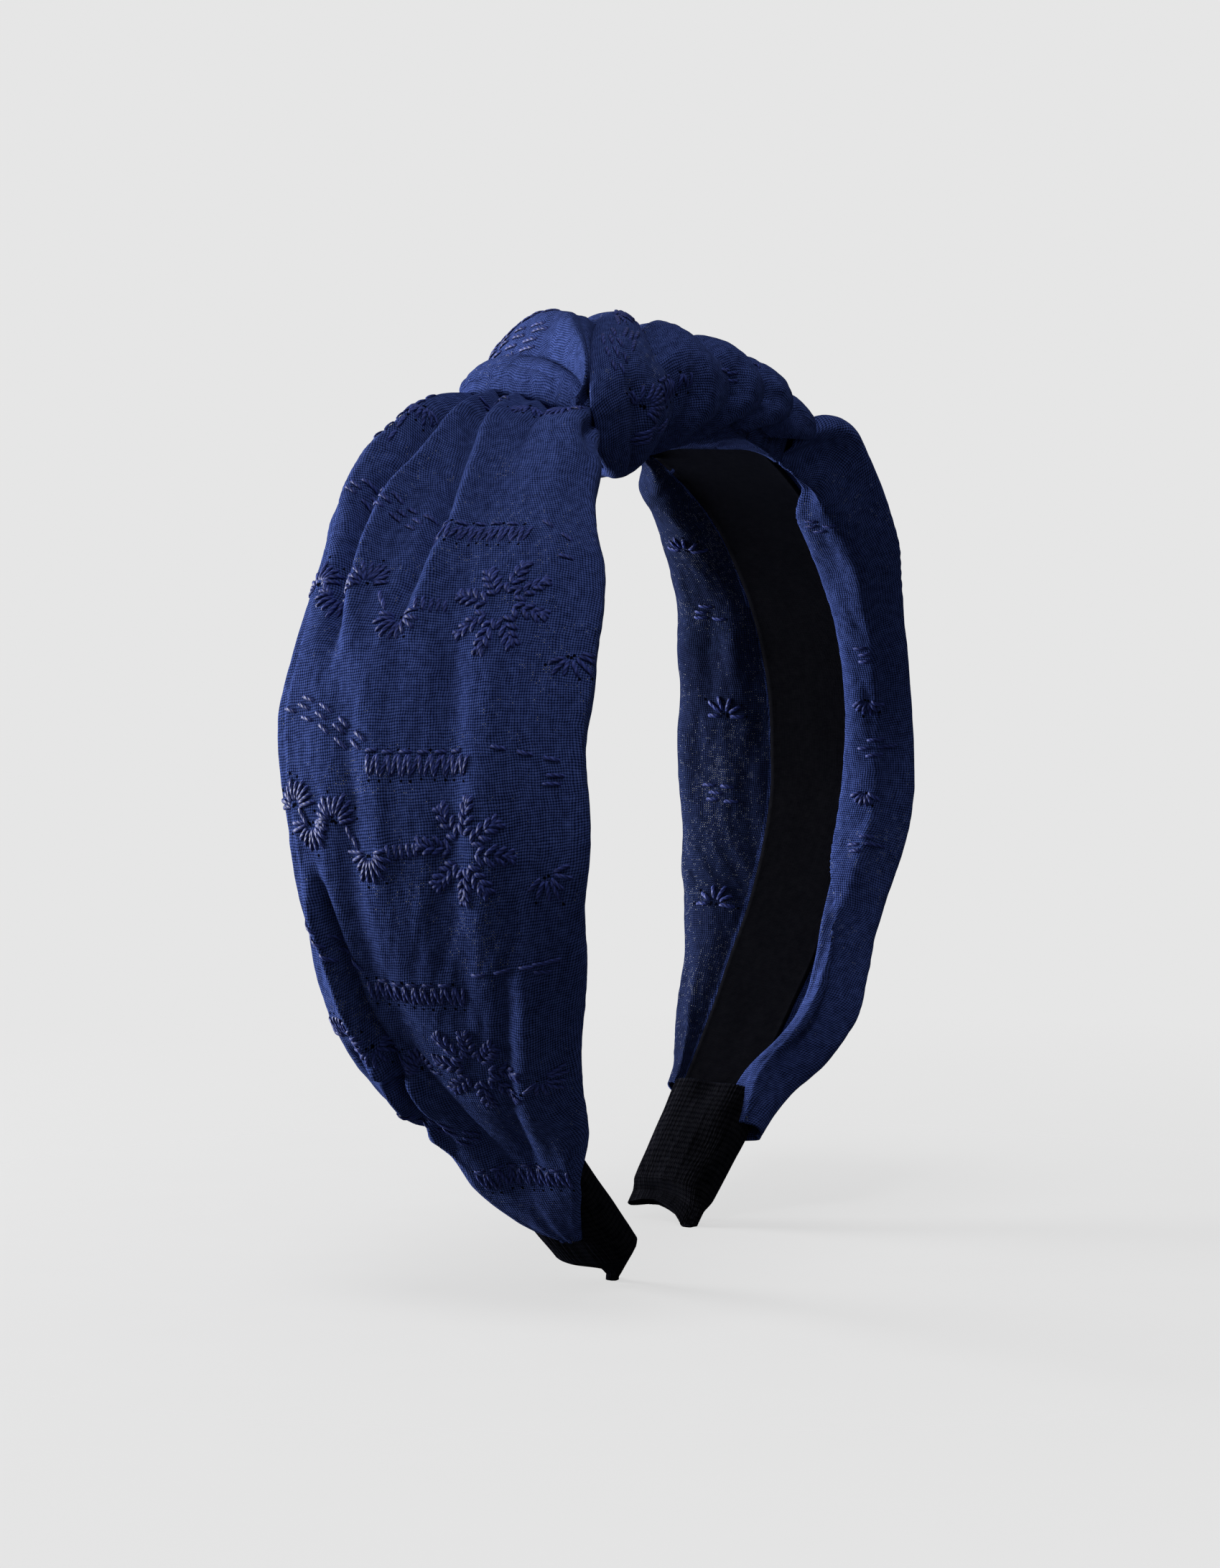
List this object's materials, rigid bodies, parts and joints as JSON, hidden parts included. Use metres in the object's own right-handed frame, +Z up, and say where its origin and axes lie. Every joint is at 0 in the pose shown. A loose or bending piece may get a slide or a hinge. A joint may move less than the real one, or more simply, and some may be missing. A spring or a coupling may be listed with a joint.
{
  "type": "knotted headband",
  "caption": "Arched hard headband wrapped in embroidered cotton that is knotted over the crown, with a ribbon lining and folded ribbon caps on both tips.",
  "frame": {"origin": "on the surface that the two tips stand on, under the middle of the whole object's box", "axes": "+Z up from the tips to the knot; +X from the left leg to the right leg, across the wearer's head; -Y towards the front of the worn band"},
  "size_m": [0.1463, 0.0688, 0.1443],
  "materials": {
    "embroidered_cotton": "matte",
    "lining_ribbon": "matte",
    "cap_grosgrain": "matte",
    "band_plastic": "matte"
  },
  "bodies": {
    "crown": {"spring_band_crown": "band_plastic", "lining_ribbon_crown": "lining_ribbon", "knot_loop_left": "embroidered_cotton", "knot_loop_right": "embroidered_cotton"},
    "left_leg": {"spring_band_left": "band_plastic", "lining_ribbon_left": "lining_ribbon", "tip_cap_left": "cap_grosgrain", "fabric_strip_left": "embroidered_cotton"},
    "right_leg": {"spring_band_right": "band_plastic", "lining_ribbon_right": "lining_ribbon", "tip_cap_right": "cap_grosgrain", "fabric_strip_right": "embroidered_cotton"}
  },
  "joints": [
    {"name": "left_leg_flex", "type": "hinge", "parent": "crown", "child": "left_leg", "pos_m": [-0.02943, 0.00513, 0.12429], "axis": [0, 1, 0], "range_deg": [-3, 14], "stiffness_Nm_per_rad": 0.8},
    {"name": "right_leg_flex", "type": "hinge", "parent": "crown", "child": "right_leg", "pos_m": [0.03636, 0.00528, 0.12115], "axis": [0, -1, 0], "range_deg": [-3, 14], "stiffness_Nm_per_rad": 0.8}
  ]
}
